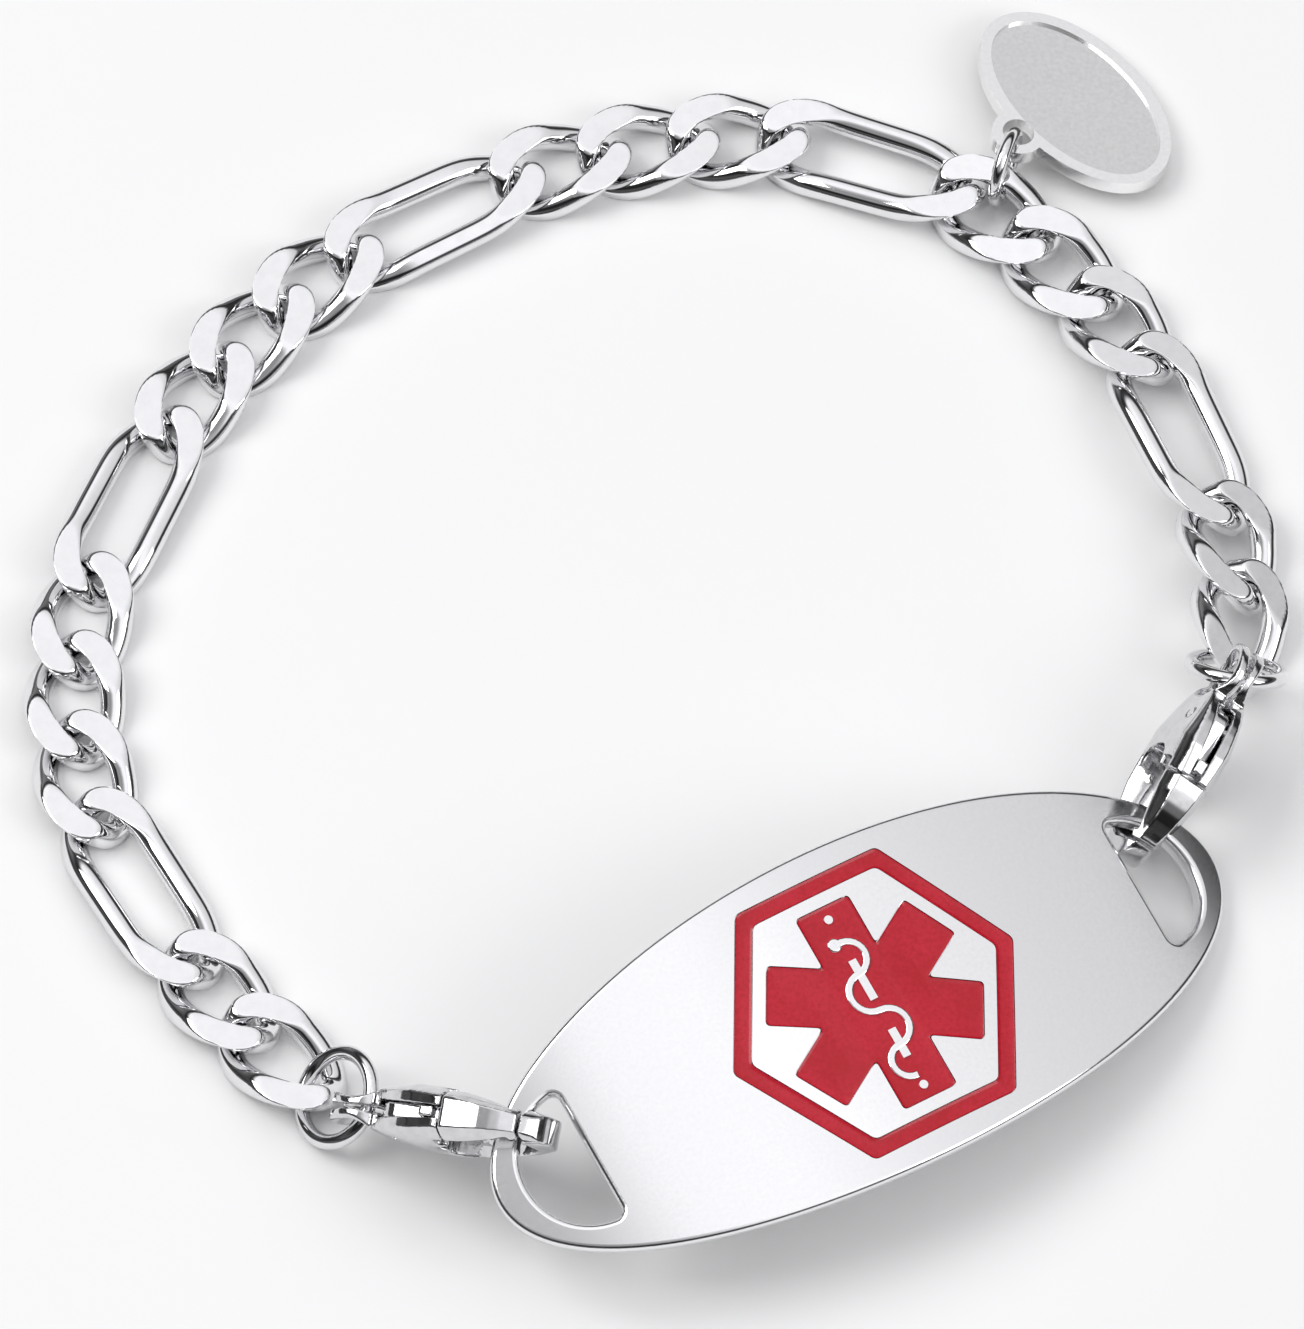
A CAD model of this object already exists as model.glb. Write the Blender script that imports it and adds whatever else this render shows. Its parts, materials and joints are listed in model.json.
"""Looks of the medical alert bracelet: plate with red enamel, polished chain, clasps and tag."""

import json
from math import atan2, copysign, cos, pi, radians, sin

import bmesh
import bpy
import numpy as np
from mathutils import Matrix, Vector


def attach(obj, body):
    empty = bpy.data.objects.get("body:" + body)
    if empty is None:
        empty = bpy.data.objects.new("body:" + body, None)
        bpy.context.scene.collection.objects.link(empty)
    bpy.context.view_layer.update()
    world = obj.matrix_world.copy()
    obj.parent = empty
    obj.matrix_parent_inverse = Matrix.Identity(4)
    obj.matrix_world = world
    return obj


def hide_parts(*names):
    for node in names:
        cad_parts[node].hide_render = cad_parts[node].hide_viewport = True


MM = 0.001
# Points closer than this are one
MERGE = 0.001 * MM

# Camera: the photograph's angle, taken from far away
CAMERA_ELEVATION = radians(61.5)
CAMERA_DISTANCE = 0.9
CAMERA_LENS, SENSOR = 425, 36
FAR_CLIP = 20
LOOK_AT = (-0.28 * MM, -1.18 * MM, 0)

# Plate, as in the part's source
PLATE_L, PLATE_W, PLATE_T = 49.8 * MM, 19.6 * MM, 1.2 * MM
ARCH_R = 64 * MM
SLOT_R, BAND_W = 4.1 * MM, 1.95 * MM
SLOT_AT = PLATE_L / 2 - BAND_W - SLOT_R
PLATE_TURN = (12.15, 5.46, 31.17)
RIM_ROUND, SLOT_CORNER = 0.36 * MM, 0.5 * MM
RIM_POINTS, RIM_STEPS = 160, 5
SLOT_POINTS, SLOT_CORNER_POINTS = 33, 7
BEND_STEP, BEND_MERGE = 0.8 * MM, 0.002 * MM

# A face is level when this much of its direction is square to the flat plate, or to the bent one,
# and looks up at all past the last. Flat faces are joined below an angle in radians.
LEVEL, LEVEL_BENT, LOOKS_UP = 0.99, 0.999, 0.7
SAME_PLANE = 0.01

# Emblem
EMBLEM_R, BORDER_W = 9.5 * MM, 1.25 * MM
CORNER_CUT, CORNER_STEPS = 0.32 * MM, 4
STAR_REACH, ARM_W = 6.4 * MM, 3.6 * MM
GROOVE, FIT_GAP, FIELD_DEPTH = 0.48 * MM, 0.05 * MM, 0.9
ENAMEL_TOP, MENISCUS_W, MENISCUS_D = 0.02 * MM, 0.24 * MM, 0.09 * MM
MENISCUS_STEPS = ((0.4, 0.6), (0.6, 0.4))
ROD_W, SERPENT_W, HEAD_R = 0.55 * MM, 0.45 * MM, 0.45 * MM
RELIEF_SINK, ROD_TOP, SERPENT_TOP = 0.11 * MM, 0, 0.03 * MM
ROD_PARTS = ((0.44, 0.03), (-0.28, -0.57))
ROD_STEPS, ARC_STEPS, RELIEF_SIDES = 6, 12, 5
KNOB_AT, KNOB_R, KNOB_FLATNESS = 0.865, 0.3 * MM, 0.7
KNOB_SEGMENTS, KNOB_RINGS = 20, 12
SERPENT_BENDS = ((0.63, 0.3, 0.15), (0.3, -0.08, -0.19),
                 (-0.08, -0.44, 0.18), (-0.44, -0.76, -0.16))
HEAD_AT, HEAD_FLATNESS = (-0.07 * STAR_REACH, 0.63 * STAR_REACH), 0.6

# Chain and rings
LINKS = [f"link_{i:02d}" for i in range(1, 22)]
LINK_WIRE, RAIL_GAP, CHAIN_T, HANG_GAP = 1.6 * MM, 4.4 * MM, 2.0 * MM, 0.16 * MM
SHORT_PITCH, LONG_PITCH = 5.4 * MM, 10.95 * MM
LINK_TWIST, LINK_ROUND = radians(47), 2.8
LINK_POINTS, LINK_SIDES = 120, 12
FLAT_KNEE = 0.14 * MM
EASE_POINTS, EASE_PASSES, EASE_FROM, EASE_OVER = 170, 40, 0.8 * MM, 1.4 * MM
RING_WIRE, TAG_RING_WIRE = 0.9 * MM, 0.8 * MM
RING_SIDES, RING_STEPS = 20, 80

# Clasps: the casting's grain, and the pillow that thins a claw towards its outline
CLAW_L, CLAW_W, EYE_R = 12.5 * MM, 7.4 * MM, 2.0 * MM
CAST_GRAIN, CAST_PASSES = 0.08 * MM, 6
PILLOW_MIDDLE, PILLOW_THINNING, PILLOW_POWER, PILLOW_EYE = 0.52, 0.5, 4, 0.9

# Tag
TAG_L, TAG_W, TAG_T, TAG_RIM, TAG_SINK = 14.3 * MM, 8.8 * MM, 1.0 * MM, 0.7 * MM, 0.2 * MM
EAR_R, EAR_HOLE_R, EAR_OVERLAP = 1.6 * MM, 0.95 * MM, 0.3
TAG_EDGE, TAG_EDGE_STEPS, FLAT_WEIGHT = 0.1 * MM, 3, 60
TIP_FROM = 0.4
OVAL_POINTS, DISC_POINTS = 96, 48

# Folds stay sharp past these angles, and the tag's faces are joined below the last, in degrees
FOLD, TAG_FOLD, TAG_EDGE_FOLD, LINK_FOLD = 38, 60, 40, 75
SAME_BLANK = 0.5

# Shares of the texture values that count: a scratch's half width, and ranges of grain and cloud
SCRATCH_WIDTH, GRAIN_RANGE, CLOUD_RANGE = 0.012, (0.35, 0.7), (0.16, 0.36)

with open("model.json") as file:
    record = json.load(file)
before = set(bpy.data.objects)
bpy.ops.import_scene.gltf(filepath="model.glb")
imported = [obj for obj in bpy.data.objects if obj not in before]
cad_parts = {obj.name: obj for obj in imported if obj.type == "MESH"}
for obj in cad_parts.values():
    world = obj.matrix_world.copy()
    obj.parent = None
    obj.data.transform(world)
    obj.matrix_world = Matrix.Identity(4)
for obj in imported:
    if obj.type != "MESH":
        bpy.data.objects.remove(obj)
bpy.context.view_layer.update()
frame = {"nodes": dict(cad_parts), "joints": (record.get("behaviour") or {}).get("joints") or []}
nodes = frame["nodes"]


def make_camera():
    """A long lens looks down on the bracelet from the front."""
    lens = bpy.data.cameras.new("camera")
    lens.lens = CAMERA_LENS
    lens.sensor_width = SENSOR
    lens.sensor_fit = "HORIZONTAL"
    lens.clip_end = FAR_CLIP
    camera = bpy.data.objects.new("camera", lens)
    bpy.context.scene.collection.objects.link(camera)
    away = Vector((0, -cos(CAMERA_ELEVATION), sin(CAMERA_ELEVATION)))
    camera.location = Vector(LOOK_AT) + CAMERA_DISTANCE * away
    camera.rotation_euler = (pi / 2 - CAMERA_ELEVATION, 0, 0)
    bpy.context.scene.camera = camera


make_camera()


# Shader nodes

def feed(tree, node, inputs):
    """Links a node's inputs to sockets, or sets them to plain values, and gives the node back."""
    for name, value in inputs.items():
        if isinstance(value, bpy.types.NodeSocket):
            tree.links.new(value, node.inputs[name])
        else:
            node.inputs[name].default_value = value
    return node


def calc(tree, operation, *values, clamp=False):
    """One step of arithmetic."""
    node = tree.nodes.new("ShaderNodeMath")
    node.operation = operation
    node.use_clamp = clamp
    return feed(tree, node, dict(enumerate(values))).outputs[0]


def calc_vector(tree, operation, first, second, result):
    """One step of arithmetic with vectors, of which one result is wanted."""
    node = tree.nodes.new("ShaderNodeVectorMath")
    node.operation = operation
    return feed(tree, node, {0: first, 1: second}).outputs[result]


def noise(tree, place, scale, detail):
    inputs = {"Vector": place, "Scale": scale, "Detail": detail}
    return feed(tree, tree.nodes.new("ShaderNodeTexNoise"), inputs).outputs["Fac"]


def remap(tree, value, low, high, start=0, end=1):
    """Stretches the range from low to high over the range from start to end."""
    inputs = {"Value": value, "From Min": low, "From Max": high, "To Min": start, "To Max": end}
    return feed(tree, tree.nodes.new("ShaderNodeMapRange"), inputs).outputs["Result"]


def blend(tree, share, first, second):
    """A colour between two colours."""
    node = tree.nodes.new("ShaderNodeMix")
    node.data_type = "RGBA"
    return feed(tree, node, {"Factor": share, "A": first, "B": second}).outputs["Result"]


def bump(tree, height, depth, **below):
    inputs = {"Height": height, "Distance": depth, **below}
    return feed(tree, tree.nodes.new("ShaderNodeBump"), inputs).outputs["Normal"]


def mapped(tree, place, inputs):
    """The place stretched or turned."""
    return feed(tree, tree.nodes.new("ShaderNodeMapping"),
                {"Vector": place, **inputs}).outputs["Vector"]


# Materials

def worn_polish_group():
    """Ripples, grain and hairline scratches of polished steel, as roughness, tint and normal."""
    group = bpy.data.node_groups.new("worn polish", "ShaderNodeTree")
    for way, kind, names in (
            ("INPUT", "NodeSocketVector", ("Place",)),
            ("INPUT", "NodeSocketFloat", ("Ripple Scale", "Ripple Depth", "Grain Scale",
                                          "Grain Depth", "Scratch Scale", "Scratch Amount",
                                          "Smooth Roughness", "Rough Roughness")),
            ("INPUT", "NodeSocketColor", ("Bright Steel", "Dull Steel")),
            ("OUTPUT", "NodeSocketFloat", ("Roughness",)),
            ("OUTPUT", "NodeSocketColor", ("Tint",)),
            ("OUTPUT", "NodeSocketVector", ("Normal",))):
        for name in names:
            group.interface.new_socket(name=name, in_out=way, socket_type=kind)
    given = group.nodes.new("NodeGroupInput").outputs
    ripple = noise(group, given["Place"], given["Ripple Scale"], detail=1.5)
    grain = noise(group, given["Place"], given["Grain Scale"], detail=5)

    # Scratches are the thin zero lines of two stretched noises
    lines = []
    for stretch in ((1, 9, 3), (7, 1.3, 3)):
        long_way = mapped(group, given["Place"], {"Scale": stretch})
        waves = noise(group, long_way, given["Scratch Scale"], detail=2)
        size = calc(group, "ABSOLUTE", calc(group, "SUBTRACT", waves, 0.5))
        lines.append(remap(group, size, 0, SCRATCH_WIDTH, 1, 0))
    scratch = calc(group, "MULTIPLY", calc(group, "MAXIMUM", *lines), given["Scratch Amount"])
    wear = calc(group, "ADD", remap(group, grain, *GRAIN_RANGE), scratch, clamp=True)

    wavy = bump(group, ripple, given["Ripple Depth"])
    feed(group, group.nodes.new("NodeGroupOutput"), {
        "Roughness": remap(group, wear, 0, 1, given["Smooth Roughness"], given["Rough Roughness"]),
        "Tint": blend(group, wear, given["Bright Steel"], given["Dull Steel"]),
        "Normal": bump(group, wear, given["Grain Depth"], Normal=wavy)})
    return group


POLISH = worn_polish_group()


def steel(name, bright, dull, roughness, ripple, grain, scratch, turn=0):
    """Steel with two colours, a roughness range, ripples and grain (scale, depth) and scratches."""
    made = bpy.data.materials.new(name)
    made.use_nodes = True
    tree = made.node_tree
    place = tree.nodes.new("ShaderNodeTexCoord").outputs["Object"]
    finish = tree.nodes.new("ShaderNodeGroup")
    finish.node_tree = POLISH
    feed(tree, finish, {"Place": mapped(tree, place, {"Rotation": (0, 0, radians(turn))}),
                        "Ripple Scale": ripple[0], "Ripple Depth": ripple[1],
                        "Grain Scale": grain[0], "Grain Depth": grain[1],
                        "Scratch Scale": scratch[0], "Scratch Amount": scratch[1],
                        "Smooth Roughness": roughness[0], "Rough Roughness": roughness[1],
                        "Bright Steel": (*bright, 1), "Dull Steel": (*dull, 1)})
    shader = tree.nodes["Principled BSDF"]
    shader.inputs["Base Color"].default_value = (*bright, 1)
    feed(tree, shader, {"Metallic": 1, "Base Color": finish.outputs["Tint"],
                        "Roughness": finish.outputs["Roughness"],
                        "Normal": finish.outputs["Normal"]})
    return made


def enamel(name, deep, light):
    """Glossy fired enamel: cloudy red under a clear, slightly uneven surface."""
    made = bpy.data.materials.new(name)
    made.use_nodes = True
    tree = made.node_tree
    place = tree.nodes.new("ShaderNodeTexCoord").outputs["Object"]
    cloud = noise(tree, place, 260, detail=3)
    speck = noise(tree, place, 4200, detail=3)
    share = remap(tree, calc(tree, "MULTIPLY", cloud, speck), *CLOUD_RANGE)
    shader = tree.nodes["Principled BSDF"]
    shader.inputs["Base Color"].default_value = (*deep, 1)
    feed(tree, shader, {"Base Color": blend(tree, share, (*deep, 1), (*light, 1)),
                        "Roughness": 0.32, "Specular IOR Level": 0.2,
                        "Coat Weight": 0.4, "Coat Roughness": 0.06,
                        "Normal": bump(tree, cloud, 0.00003)})
    return made


PLATE_STEEL = steel("satin plate steel", (0.86, 0.86, 0.87), (0.84, 0.84, 0.85), (0.13, 0.18),
                    (30, 0.00006), (5200, 0.00000003), (700, 0.2), turn=-PLATE_TURN[2])
FIELD_STEEL = steel("bright field steel", (0.97, 0.97, 0.98), (0.93, 0.93, 0.94), (0.08, 0.14),
                    (140, 0.00001), (4200, 0.00000003), (700, 0.2), turn=-PLATE_TURN[2])
CHAIN_STEEL = steel("polished chain steel", (0.84, 0.84, 0.85), (0.8, 0.8, 0.81), (0.05, 0.11),
                    (300, 0.000005), (1300, 0.00000008), (420, 0.3))
CLASP_STEEL = steel("cast clasp steel", (0.71, 0.71, 0.72), (0.62, 0.62, 0.63), (0.06, 0.15),
                    (300, 0.000012), (1500, 0.0000002), (420, 0.35))
RING_STEEL = steel("drawn ring steel", (0.82, 0.82, 0.83), (0.75, 0.75, 0.76), (0.04, 0.1),
                   (300, 0.000006), (3600, 0.0000001), (900, 0.3))
TAG_STEEL = steel("satin tag steel", (0.92, 0.92, 0.92), (0.88, 0.88, 0.88), (0.1, 0.14),
                  (60, 0.00006), (3800, 0.00000006), (700, 0.2))
TAG_FIELD_STEEL = steel("stamped field steel", (0.76, 0.76, 0.76), (0.71, 0.71, 0.71),
                        (0.16, 0.22), (90, 0.00004), (3800, 0.00000006), (700, 0.25))
RED_ENAMEL = enamel("red enamel", (0.45, 0.003, 0.014), (0.54, 0.009, 0.028))


# Making and placing pieces

def mesh_from(bm, name, fold=FOLD):
    """A bmesh becomes a mesh with smooth faces and sharp folds past an angle."""
    for face in bm.faces:
        face.smooth = True
    mesh = bpy.data.meshes.new(name)
    bm.to_mesh(mesh)
    bm.free()
    mesh.set_sharp_from_angle(angle=radians(fold))
    return mesh


def add_object(name, data):
    obj = bpy.data.objects.new(name, data)
    bpy.context.scene.collection.objects.link(obj)
    return obj


def evaluated(obj):
    """A new mesh of the object with its modifiers applied."""
    bpy.context.view_layer.update()
    return bpy.data.meshes.new_from_object(
        obj.evaluated_get(bpy.context.evaluated_depsgraph_get()))


def add_piece(name, mesh, finish, body, stands_for):
    """Puts a mesh in the scene with its finish, riding on its body in place of its node."""
    obj = add_object(name, mesh)
    mesh.materials.append(finish)
    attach(obj, body)
    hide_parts(stands_for)
    return obj


def points_of(*names):
    return np.concatenate([np.array([v.co for v in nodes[n].data.vertices]) for n in names])


def placed(origin, x, y, z):
    """A place from its origin and its three directions."""
    turn = Matrix((x, y, z)).transposed().to_4x4()
    return Matrix.Translation(origin) @ turn


def middle_of(values):
    return (values.max() + values.min()) / 2


def own_axes(name):
    """A link's or ring's middle and its long, short and thin directions, from its points."""
    points = points_of(name)
    middle = points.mean(0)
    x, y = np.linalg.svd(points - middle, full_matrices=False)[2][:2]
    return placed(Vector(middle), Vector(x), Vector(y), Vector(x).cross(Vector(y)))


def from_curve(name, points, radius, cyclic, sides):
    """A round wire along a line of points, as a bmesh."""
    line = bpy.data.curves.new(name, "CURVE")
    line.dimensions = "3D"
    line.bevel_depth = radius
    line.bevel_resolution = sides
    line.use_fill_caps = True
    strand = line.splines.new("POLY")
    strand.points.add(len(points) - 1)
    for spot, point in zip(strand.points, points):
        spot.co = (*point, 1)
    strand.use_cyclic_u = cyclic
    carrier = add_object(name, line)
    mesh = bpy.data.meshes.new_from_object(carrier)
    bm = bmesh.new()
    bm.from_mesh(mesh)
    bpy.data.objects.remove(carrier)
    bpy.data.meshes.remove(mesh)
    bmesh.ops.remove_doubles(bm, verts=bm.verts, dist=MERGE)
    bmesh.ops.recalc_face_normals(bm, faces=bm.faces)
    return bm


# Chain: round wire, twisted at both ends, and ground and tumbled flat on both sides

def eased_rails(line, half):
    """Spaces a long link's points evenly and eases the bends between its ends and rails."""
    closed = np.vstack([line, line[:1]])
    pieces = np.linalg.norm(np.diff(closed, axis=0), axis=1)
    along = np.concatenate([[0], np.cumsum(pieces)])
    spots = np.linspace(0, along[-1], EASE_POINTS, endpoint=False)
    even = np.stack([np.interp(spots, along, closed[:, axis]) for axis in range(3)], axis=1)
    soft = even
    for _ in range(EASE_PASSES):
        soft = (np.roll(soft, 1, axis=0) + 2 * soft + np.roll(soft, -1, axis=0)) / 4
    share = np.clip((half - np.abs(even[:, :1]) - EASE_FROM) / EASE_OVER, 0, 1)
    return even * (1 - share) + soft * share


def link_mesh(name, pitch):
    """A long link has a short link's twisted ends and straight rails between them."""
    end = (SHORT_PITCH + LINK_WIRE + HANG_GAP) / 2
    rail = (pitch - SHORT_PITCH) / 2
    line = []
    for i in range(LINK_POINTS):
        t = 2 * pi * (i + 0.5) / LINK_POINTS
        out = end * copysign(abs(cos(t)) ** (2 / LINK_ROUND), cos(t))
        side = RAIL_GAP / 2 * copysign(abs(sin(t)) ** (2 / LINK_ROUND), sin(t))
        roll = -LINK_TWIST * out / end
        line.append((out + copysign(rail, out), side * cos(roll), side * sin(roll)))
    if rail > 0:
        line = eased_rails(np.array(line), end + rail)
    bm = from_curve(name, line, LINK_WIRE / 2, True, LINK_SIDES)
    knee = CHAIN_T / 2 - FLAT_KNEE
    for v in bm.verts:
        over = min(abs(v.co.z) - knee, 2 * FLAT_KNEE)
        if over > 0:
            v.co.z = copysign(knee + over - over * over / (4 * FLAT_KNEE), v.co.z)
    return mesh_from(bm, name, LINK_FOLD)


def make_chain():
    short = link_mesh("short link", SHORT_PITCH)
    long_one = link_mesh("long link", LONG_PITCH)
    for name in LINKS:
        place = own_axes(name)
        from_middle = points_of(name) - np.array(place.translation)
        reach = np.ptp(from_middle @ np.array(place.col[0][:3]))
        mesh = (long_one if reach > LONG_PITCH else short).copy()
        mesh.transform(place)
        add_piece(f"polished_{name}", mesh, CHAIN_STEEL, "bracelet", name)


# Rings: round wire bent to a circle

def ring_mesh(node, wire):
    place = own_axes(node)
    outer = np.linalg.norm(points_of(node) - np.array(place.translation), axis=1).max()
    bm = bmesh.new()
    section = Matrix.Translation((outer - wire / 2, 0, 0)) @ Matrix.Rotation(pi / 2, 4, "X")
    bmesh.ops.create_circle(bm, cap_ends=False, radius=wire / 2, segments=RING_SIDES,
                            matrix=section)
    bmesh.ops.spin(bm, geom=bm.verts[:] + bm.edges[:], cent=(0, 0, 0), axis=(0, 0, 1),
                   angle=2 * pi, steps=RING_STEPS, use_merge=True, use_duplicate=False)
    bmesh.ops.recalc_face_normals(bm, faces=bm.faces)
    bmesh.ops.transform(bm, matrix=place, verts=bm.verts)
    return mesh_from(bm, node)


def make_rings():
    wires = {"jump_ring_1": RING_WIRE, "jump_ring_2": RING_WIRE, "tag_ring": TAG_RING_WIRE}
    for node, wire in wires.items():
        mesh = ring_mesh(node, wire)
        add_piece(f"round_{node}", mesh, RING_STEEL, "bracelet", node)


# Plate: a flat oval with two slots and the emblem's grooves, bent to the arch at the end

def loop_of(bm, points):
    spots = [bm.verts.new((x, y, 0)) for x, y in points]
    for a, b in zip(spots, spots[1:] + spots[:1]):
        bm.edges.new((a, b))


def slab(loops, low, high):
    """A flat plate between two heights with one or more closed outlines."""
    bm = bmesh.new()
    for points in loops:
        loop_of(bm, points)
    bmesh.ops.triangle_fill(bm, use_beauty=True, use_dissolve=False, edges=bm.edges[:],
                            normal=(0, 0, 1))
    bmesh.ops.dissolve_limit(bm, angle_limit=SAME_PLANE, verts=bm.verts, edges=bm.edges)
    bmesh.ops.translate(bm, vec=(0, 0, low), verts=bm.verts)
    copied = bmesh.ops.extrude_face_region(bm, geom=bm.faces[:])["geom"]
    bmesh.ops.translate(bm, vec=(0, 0, high - low),
                        verts=[v for v in copied if isinstance(v, bmesh.types.BMVert)])
    bmesh.ops.recalc_face_normals(bm, faces=bm.faces)
    return bm


def slot_outline(side):
    """A half disc with its two corners rounded."""
    lift = ((SLOT_R - SLOT_CORNER) ** 2 - SLOT_CORNER ** 2) ** 0.5
    corner = np.arctan2(lift, SLOT_CORNER)
    arc = [(SLOT_R * cos(a), SLOT_R * sin(a)) for a in np.linspace(-corner, corner, SLOT_POINTS)]
    turn = [(SLOT_CORNER + SLOT_CORNER * cos(a), lift + SLOT_CORNER * sin(a))
            for a in np.linspace(corner, pi, SLOT_CORNER_POINTS)[1:]]
    half = arc + turn + [(x, -y) for x, y in reversed(turn)]
    return [(side * (SLOT_AT + x), y) for x, y in half]


def round_over(bm, up, size, steps):
    """Rolls the rim of all faces that look up, or down, over a quarter round."""
    for i in range(steps):
        a, b = pi / 2 * i / steps, pi / 2 * (i + 1) / steps
        flat = [f for f in bm.faces if f.normal.z * up > LEVEL]
        height = max(f.calc_center_median().z * up for f in flat)
        top = [f for f in flat if f.calc_center_median().z * up > height - MERGE]
        bmesh.ops.inset_region(bm, faces=top, thickness=size * (cos(a) - cos(b)),
                               depth=size * (sin(b) - sin(a)),
                               use_boundary=True, use_even_offset=True)


def plate_blank():
    steps = [2 * pi * i / RIM_POINTS for i in range(RIM_POINTS)]
    rim = [(PLATE_L / 2 * cos(t), PLATE_W / 2 * sin(t)) for t in steps]
    bm = slab([rim, slot_outline(-1), slot_outline(1)], -PLATE_T + RIM_ROUND, -RIM_ROUND)
    round_over(bm, 1, RIM_ROUND, RIM_STEPS)
    round_over(bm, -1, RIM_ROUND, RIM_STEPS)
    return bm


def eased(points):
    """A closed outline with each corner turned into a small curve."""
    line = []
    for before, corner, after in zip(points[-1:] + points[:-1], points, points[1:] + points[:1]):
        before, corner, after = Vector(before), Vector(corner), Vector(after)
        start = corner + (before - corner).normalized() * CORNER_CUT
        end = corner + (after - corner).normalized() * CORNER_CUT
        for i in range(CORNER_STEPS + 1):
            t = i / CORNER_STEPS
            line.append(tuple((1 - t) ** 2 * start + 2 * t * (1 - t) * corner + t * t * end))
    return line


def star_outline(width, reach):
    """Outer corners of three crossing bars, going round."""
    points = []
    for arm in range(6):
        heading = radians(30 + 60 * arm)
        ahead = Vector((cos(heading), sin(heading)))
        aside = Vector((-sin(heading), cos(heading)))
        notch = Vector((cos(heading + pi / 6), sin(heading + pi / 6)))
        points += [reach * ahead - width / 2 * aside, reach * ahead + width / 2 * aside,
                   width * notch]
    return eased(points)


def hexagon(radius):
    return eased([(radius * cos(pi / 3 * i), radius * sin(pi / 3 * i)) for i in range(6)])


def carve(blank, cutters, way="DIFFERENCE"):
    """Cuts closed shapes out of the blank, or joins them to it, and gives a bmesh."""
    base = add_object("blank", mesh_from(blank, "blank"))
    tools = []
    for cutter in cutters:
        tool = add_object("cutter", mesh_from(cutter, "cutter"))
        cut = base.modifiers.new("cut", "BOOLEAN")
        cut.operation, cut.solver, cut.object = way, "EXACT", tool
        tools.append(tool)
    result = evaluated(base)
    bm = bmesh.new()
    bm.from_mesh(result)
    for gone in [base] + tools:
        bpy.data.objects.remove(gone)
    bpy.data.meshes.remove(result)
    return bm


def serpent_line():
    """The serpent's arcs down the rod, one after the other, as points on the flat plate."""
    points = [Vector((*HEAD_AT, -RELIEF_SINK))]
    for high, low, bulge in SERPENT_BENDS:
        top, foot = high * STAR_REACH, low * STAR_REACH
        half, out = (top - foot) / 2, abs(bulge) * STAR_REACH
        radius = (half * half + out * out) / (2 * out)
        wide = np.arcsin(min(1, half / radius)) if out <= half else pi - np.arcsin(half / radius)
        for i in range(ARC_STEPS + 1):
            a = wide - 2 * wide * i / ARC_STEPS
            points.append(Vector((np.sign(bulge) * (out - radius + radius * cos(a)),
                                  (top + foot) / 2 + radius * sin(a), -RELIEF_SINK)))
    return points


def knob(at, radius, flatness):
    """A round lump on the flat plate, half sunk in the enamel."""
    bm = bmesh.new()
    bmesh.ops.create_uvsphere(bm, u_segments=KNOB_SEGMENTS, v_segments=KNOB_RINGS, radius=radius)
    bmesh.ops.scale(bm, vec=(1, 1, flatness), verts=bm.verts)
    bmesh.ops.translate(bm, vec=(at[0], at[1], -radius * flatness / 2), verts=bm.verts)
    return bm


def strip(name, line, width):
    """A round strip of the relief along an open line."""
    return from_curve(name, line, width / 2, False, RELIEF_SIDES)


def add_relief(bm):
    """The rod's two lengths, its knobs, the serpent and its head, level with the steel face."""
    parts = [(SERPENT_TOP, strip("serpent", serpent_line(), SERPENT_W)),
             (SERPENT_TOP, knob(HEAD_AT, HEAD_R, HEAD_FLATNESS))]
    for high, low in ROD_PARTS:
        length = [Vector((0, STAR_REACH * (high + (low - high) * i / ROD_STEPS), -RELIEF_SINK))
                  for i in range(ROD_STEPS + 1)]
        parts.append((ROD_TOP, strip("rod", length, ROD_W)))
    for side in (1, -1):
        parts.append((ROD_TOP, knob((0, side * KNOB_AT * STAR_REACH), KNOB_R, KNOB_FLATNESS)))
    for top, part in parts:
        for v in part.verts:
            v.co.z = min(v.co.z, top)
        mesh = bpy.data.meshes.new("relief")
        part.to_mesh(mesh)
        bm.from_mesh(mesh)
        bpy.data.meshes.remove(mesh)
        part.free()


def mark_field(bm):
    """The face between the hexagon and the star, and the relief, take the brighter finish."""
    sides = [pi / 3 * k + pi / 6 for k in range(3)]
    for face in bm.faces:
        x, y, z = face.calc_center_median()
        reach = max(abs(x * sin(a) + y * cos(a)) for a in sides)
        if reach < (EMBLEM_R - BORDER_W) * cos(pi / 6) and z > -GROOVE * FIELD_DEPTH:
            face.material_index = 1


def bend(bm):
    """Cuts the flat piece in strips across its length and lays them round the arch."""
    cuts = int(PLATE_L / 2 / BEND_STEP)
    for i in range(-cuts, cuts + 1):
        bmesh.ops.bisect_plane(bm, geom=bm.verts[:] + bm.edges[:] + bm.faces[:], dist=BEND_MERGE,
                               plane_co=(i * BEND_STEP, 0, 0), plane_no=(1, 0, 0))
    for v in bm.verts:
        u, across, up = v.co
        turn = u / ARCH_R
        v.co = ((ARCH_R + up) * sin(turn), across, (ARCH_R + up) * cos(turn) - ARCH_R)


def plate_place():
    """The plate's turn is the source's, and its middle comes from the node's own reach."""
    x, y, z = (radians(a) for a in PLATE_TURN)
    turn = Matrix.Rotation(z, 4, "Z") @ Matrix.Rotation(y, 4, "Y") @ Matrix.Rotation(x, 4, "X")
    own = points_of("plate") @ np.array(turn.to_3x3())
    crown = Vector((middle_of(own[:, 0]), middle_of(own[:, 1]), own[:, 2].max()))
    return Matrix.Translation(turn @ crown) @ turn


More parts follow.
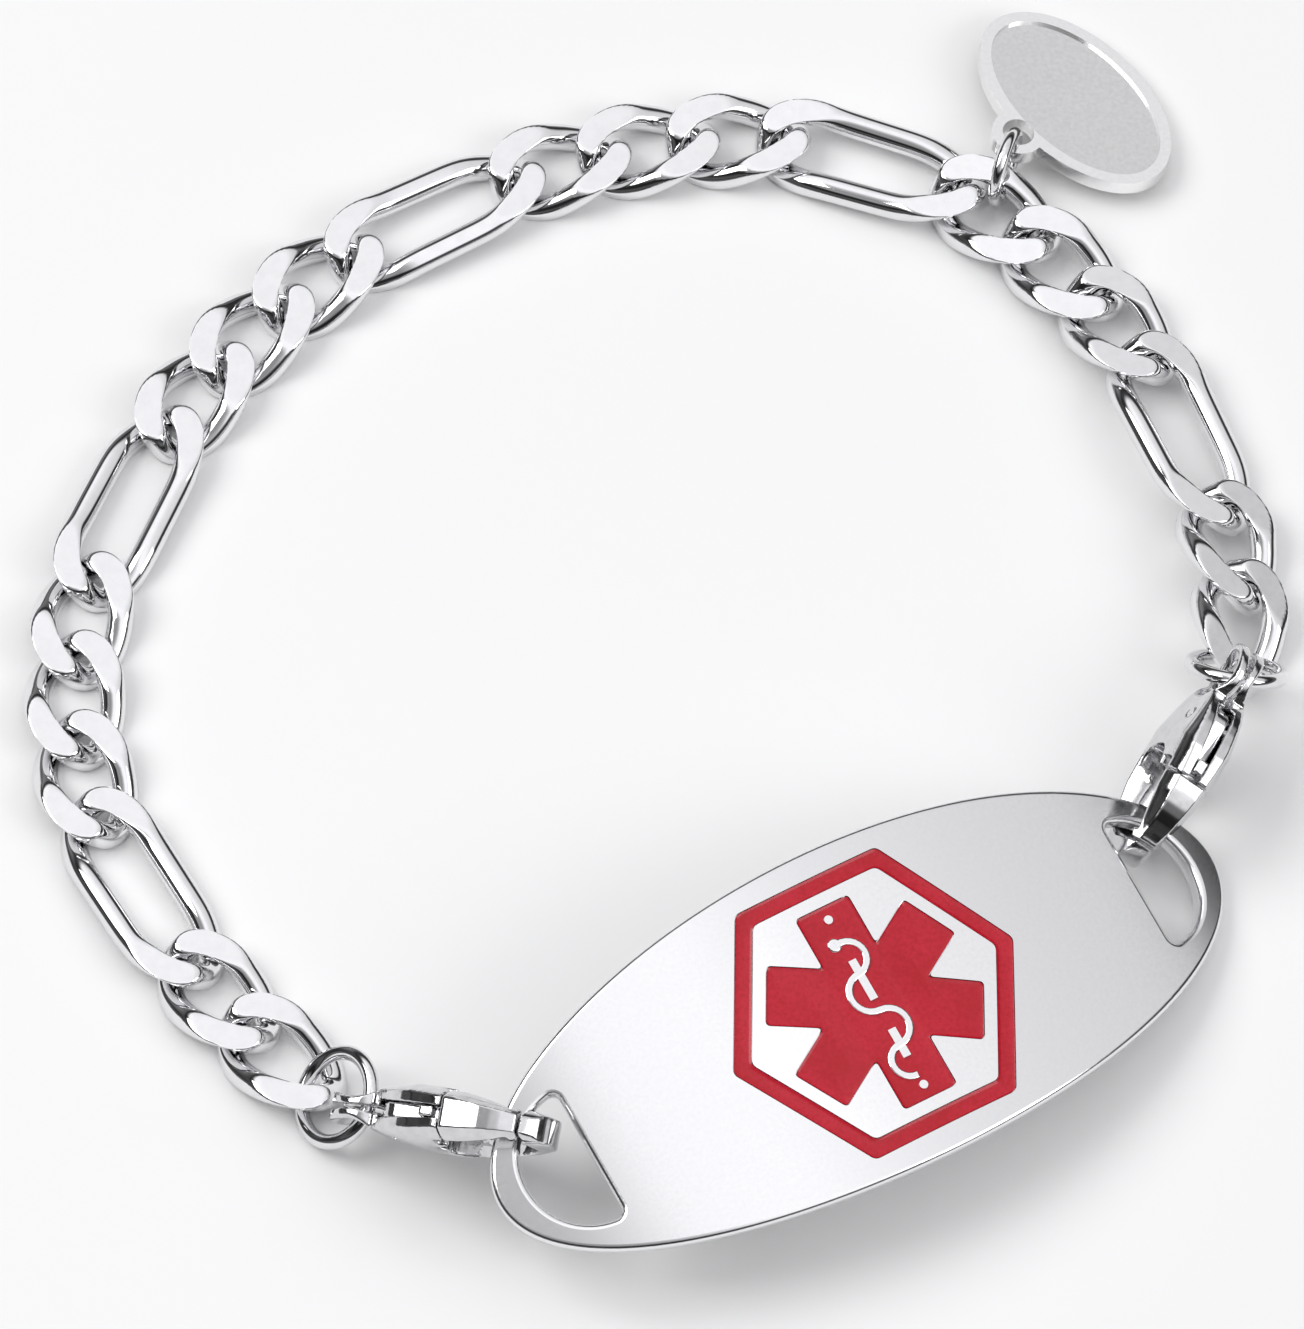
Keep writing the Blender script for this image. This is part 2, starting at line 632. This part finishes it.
def true_faces(mesh):
    """Corners of level faces take the arch's own direction, so that no seam of strips shows."""
    place = plate_place()
    back, turn = place.inverted(), place.to_3x3()

    def upward(spot):
        own = back @ spot
        a = atan2(own.x, own.z + ARCH_R)
        return turn @ Vector((sin(a), 0, cos(a)))

    normals = [Vector(corner.vector) for corner in mesh.corner_normals]
    for face in mesh.polygons:
        side = face.normal.dot(upward(face.center))
        if abs(side) > LEVEL_BENT:
            for corner in face.loop_indices:
                spot = mesh.vertices[mesh.loops[corner].vertex_index].co
                normals[corner] = copysign(1, side) * upward(spot)
    mesh.normals_split_custom_set(normals)


def enamel_mesh(name, loops):
    """Enamel poured in a groove: its face climbs a little at the steel all round."""
    bm = slab(loops, -GROOVE + FIT_GAP, -ENAMEL_TOP)
    for across, down in MENISCUS_STEPS:
        top = [f for f in bm.faces
               if f.normal.z > LEVEL and f.calc_center_median().z > -GROOVE / 2]
        bmesh.ops.inset_region(bm, faces=top, thickness=MENISCUS_W * across,
                               depth=-MENISCUS_D * down, use_boundary=True, use_even_offset=True)
    bend(bm)
    bmesh.ops.transform(bm, matrix=plate_place(), verts=bm.verts)
    return mesh_from(bm, name)


def make_plate():
    cutters = [slab([hexagon(EMBLEM_R), hexagon(EMBLEM_R - BORDER_W)], -GROOVE, PLATE_T),
               slab([star_outline(ARM_W, STAR_REACH)], -GROOVE, PLATE_T)]
    bm = carve(plate_blank(), cutters)
    add_relief(bm)
    mark_field(bm)
    bend(bm)
    bmesh.ops.transform(bm, matrix=plate_place(), verts=bm.verts)
    mesh = mesh_from(bm, "plate")
    add_piece("satin_plate", mesh, PLATE_STEEL, "bracelet", "plate")
    mesh.materials.append(FIELD_STEEL)
    true_faces(mesh)
    border = enamel_mesh("border", [hexagon(EMBLEM_R - FIT_GAP),
                                    hexagon(EMBLEM_R - BORDER_W + FIT_GAP)])
    add_piece("poured_border", border, RED_ENAMEL, "bracelet", "enamel_border")
    star = enamel_mesh("star", [star_outline(ARM_W - 2 * FIT_GAP, STAR_REACH - FIT_GAP)])
    add_piece("poured_star", star, RED_ENAMEL, "bracelet", "enamel_star")


# Clasps: the nodes' own form with its edges melted, as castings have

def clasp_place(number):
    """A clasp's own frame: z along the pin, x from eye to claw's end, y to the lever's side."""
    joint = next(j for j in frame["joints"] if j["child"] == f"lever_{number}")
    z = -np.array(joint["axis"], float)
    z /= np.linalg.norm(z)
    pivot = np.array(joint["pos_m"], float)
    points = points_of(f"clasp_{number}_body", f"clasp_{number}_lever") - pivot
    side = np.cross(z, (0, 0, 1.0) if abs(z[2]) < 0.9 else (1.0, 0, 0))
    side /= np.linalg.norm(side)
    other = np.cross(z, side)

    def width(angle):
        return np.ptp(points @ (cos(angle) * side + sin(angle) * other))

    # The narrowest way across, found to a quarter degree, is the y direction
    angle = min((radians(a / 4) for a in range(4 * 180)), key=width)
    y = cos(angle) * side + sin(angle) * other
    x = np.cross(y, z)
    if (points @ x).mean() < 0:
        x, y = -x, -y
    origin = pivot + ((points @ x).max() - CLAW_L) * x \
        + middle_of(points @ y) * y + middle_of(points @ z) * z
    return placed(Vector(origin), Vector(x), Vector(y), Vector(z))


def pillow(bm, place):
    """Thins a claw towards its outline, so that its sections are round and not square."""
    back = place.inverted()
    middle, half_l = CLAW_L * PILLOW_MIDDLE, CLAW_L / 2
    for v in bm.verts:
        x, y, z = back @ v.co
        span = max(0, 1 - ((x - middle) / half_l) ** 2) ** 0.5 * CLAW_W / 2
        edge = min(1, abs(y) / max(span, EYE_R * PILLOW_EYE))
        v.co = place @ Vector((x, y, z * (1 - PILLOW_THINNING * edge ** PILLOW_POWER)))


def softened(node, place):
    """A copy of a clasp's node is merged, remeshed finely, shaped and smoothed."""
    bm = bmesh.new()
    bm.from_mesh(nodes[node].data)
    bmesh.ops.remove_doubles(bm, verts=bm.verts, dist=MERGE)
    mesh = bpy.data.meshes.new(node)
    bm.to_mesh(mesh)
    bm.free()
    carrier = add_object(node, mesh)
    remesh = carrier.modifiers.new("grain", "REMESH")
    remesh.mode, remesh.voxel_size = "VOXEL", CAST_GRAIN
    result = evaluated(carrier)
    bpy.data.objects.remove(carrier)
    bm = bmesh.new()
    bm.from_mesh(result)
    pillow(bm, place)
    for _ in range(CAST_PASSES):
        bmesh.ops.smooth_vert(bm, verts=bm.verts, factor=0.5,
                              use_axis_x=True, use_axis_y=True, use_axis_z=True)
    for face in bm.faces:
        face.smooth = True
    bm.to_mesh(result)
    bm.free()
    return result


def make_clasps():
    for number in (1, 2):
        place = clasp_place(number)
        for part, body in (("body", "bracelet"), ("lever", f"lever_{number}")):
            node = f"clasp_{number}_{part}"
            add_piece(f"cast_{node}", softened(node, place), CLASP_STEEL, body, node)
        for slot in nodes[f"clasp_{number}_pin"].material_slots:
            slot.material = CLASP_STEEL


# Tag: an oval blank with an ear and a sunk field, rebuilt with softened edges

def tag_place():
    """The tag's own frame: z out of its face, x along the oval, origin in the ear's middle."""
    facing_up = (f for f in nodes["tag"].data.polygons if f.normal.z > LOOKS_UP)
    z = np.array(max(facing_up, key=lambda f: f.area).normal)
    points = points_of("tag")
    flat = points - points.mean(0)
    flat = flat - np.outer(flat @ z, z)
    x = np.linalg.svd(flat, full_matrices=False)[2][0]
    y = np.cross(z, x)
    reach, across = points @ x, points @ y
    # The ear is on the side that the oval's two tips are further from
    tips = across[np.abs(reach - middle_of(reach)) > TAG_L * TIP_FROM].mean()
    if tips < middle_of(across):
        x, y = -x, -y
        reach, across = -reach, -across
    origin = middle_of(reach) * x + (across.min() + EAR_R) * y + middle_of(points @ z) * z
    return placed(Vector(origin), Vector(x), Vector(y), Vector(z))


def round_outline(half_l, half_w, out, count):
    """An oval of the given half sizes, moved out along its short way."""
    steps = np.linspace(0, 2 * pi, count + 1)[:-1]
    return [(half_l * cos(t), out + half_w * sin(t)) for t in steps]


def oval(rim, out):
    return round_outline(TAG_L / 2 - rim, TAG_W / 2 - rim, out, OVAL_POINTS)


def disc(radius):
    return round_outline(radius, radius, 0, DISC_POINTS)


def make_tag():
    """The blank is joined with its ear, its hole and field are cut, and its edges softened."""
    out = TAG_W / 2 + (EAR_R - EAR_HOLE_R) * EAR_OVERLAP
    blank = slab([oval(0, out)], -TAG_T / 2, TAG_T / 2)
    ear = slab([disc(EAR_R)], -TAG_T / 2, TAG_T / 2)
    joined = carve(blank, [ear], "UNION")
    bmesh.ops.dissolve_limit(joined, angle_limit=radians(SAME_BLANK), verts=joined.verts,
                             edges=joined.edges)
    hole = slab([disc(EAR_HOLE_R)], -TAG_T, TAG_T)
    field = slab([oval(TAG_RIM, out)], TAG_T / 2 - TAG_SINK, TAG_T)
    bm = carve(joined, [hole, field])
    for face in bm.faces:
        sunk = face.calc_center_median().z < TAG_T / 2 - TAG_SINK / 2
        if face.normal.z > LEVEL and sunk:
            face.material_index = 1
    bmesh.ops.transform(bm, matrix=tag_place(), verts=bm.verts)
    mesh = mesh_from(bm, "tag", TAG_FOLD)
    obj = add_piece("satin_tag", mesh, TAG_STEEL, "bracelet", "tag")
    mesh.materials.append(TAG_FIELD_STEEL)
    soft = obj.modifiers.new("soft edges", "BEVEL")
    soft.width, soft.segments = TAG_EDGE, TAG_EDGE_STEPS
    soft.limit_method, soft.angle_limit = "ANGLE", radians(TAG_EDGE_FOLD)
    # Large faces keep their own direction beside the softened edges
    weigh = obj.modifiers.new("even normals", "WEIGHTED_NORMAL")
    weigh.keep_sharp = True
    weigh.weight = FLAT_WEIGHT


# Studio: a pale floor under a broad light sky with a dark horizon, and two soft lamps

FLOOR_SIZE, FLOOR_GREY = 3, 0.93

# Directions along which the sky changes: by height, and across from near left to far right
SKY_UP, SKY_ACROSS, ACROSS_MIDDLE = (0.15, 0.05, 1), (0.41, 0.285, 0), 0.5
# Brightness of the sky along each of them, and how much bluer than grey it is
UP_LEVELS = ((0.0, 0.25), (0.05, 0.05), (0.15, 0.22), (0.25, 0.16), (0.37, 0.03), (0.5, 0.05),
             (0.56, 0.28), (0.63, 0.9), (0.7, 1.0), (1.0, 1.0))
ACROSS_LEVELS = ((0.0, 0.5), (0.27, 0.3), (0.36, 0.5), (0.46, 1.12), (0.58, 1.15), (0.71, 0.92),
                 (0.85, 0.8), (1.0, 0.7))
SKY_BLUE = 1.01

# Name, place, size and power of each lamp
LAMPS = (("window lamp", (-0.6, 0.1, 0.75), 0.6, 4.6), ("side lamp", (0.8, -0.35, 0.6), 0.5, 2.2))


def make_floor():
    bm = bmesh.new()
    bmesh.ops.create_grid(bm, x_segments=1, y_segments=1, size=FLOOR_SIZE)
    obj = add_object("floor", mesh_from(bm, "floor"))
    made = bpy.data.materials.new("floor paper")
    made.use_nodes = True
    feed(made.node_tree, made.node_tree.nodes["Principled BSDF"],
         {"Base Color": (FLOOR_GREY, FLOOR_GREY, FLOOR_GREY, 1), "Roughness": 0.7,
          "Specular IOR Level": 0.2})
    obj.data.materials.append(made)


def sky_ramp(tree, way, facing, middle, levels):
    """Grey levels along one direction of the sky."""
    along = calc_vector(tree, "DOT_PRODUCT", way, facing, "Value")
    node = tree.nodes.new("ShaderNodeValToRGB")
    ramp = node.color_ramp
    ramp.elements[0].position, ramp.elements[1].position = levels[0][0], levels[-1][0]
    for spot, _ in levels[1:-1]:
        ramp.elements.new(spot)
    for element, (_, level) in zip(ramp.elements, levels):
        element.color = (level, level, level * SKY_BLUE, 1)
    return feed(tree, node, {"Fac": calc(tree, "ADD", along, middle)}).outputs["Color"]


def make_light():
    world = bpy.data.worlds.new("studio")
    bpy.context.scene.world = world
    world.use_nodes = True
    tree = world.node_tree
    way = tree.nodes.new("ShaderNodeTexCoord").outputs["Generated"]
    up = sky_ramp(tree, way, SKY_UP, 0, UP_LEVELS)
    across = sky_ramp(tree, way, SKY_ACROSS, ACROSS_MIDDLE, ACROSS_LEVELS)
    feed(tree, tree.nodes["Background"],
         {"Strength": 1, "Color": calc_vector(tree, "MULTIPLY", up, across, "Vector")})
    for name, spot, size, power in LAMPS:
        lamp = bpy.data.lights.new(name, "AREA")
        lamp.shape, lamp.size, lamp.energy = "SQUARE", size, power
        obj = add_object(name, lamp)
        obj.location = spot
        obj.rotation_euler = (-Vector(spot)).to_track_quat("-Z", "Y").to_euler()
    bpy.context.scene.view_settings.view_transform = "Standard"


make_plate()
make_chain()
make_rings()
make_clasps()
make_tag()
make_floor()
make_light()
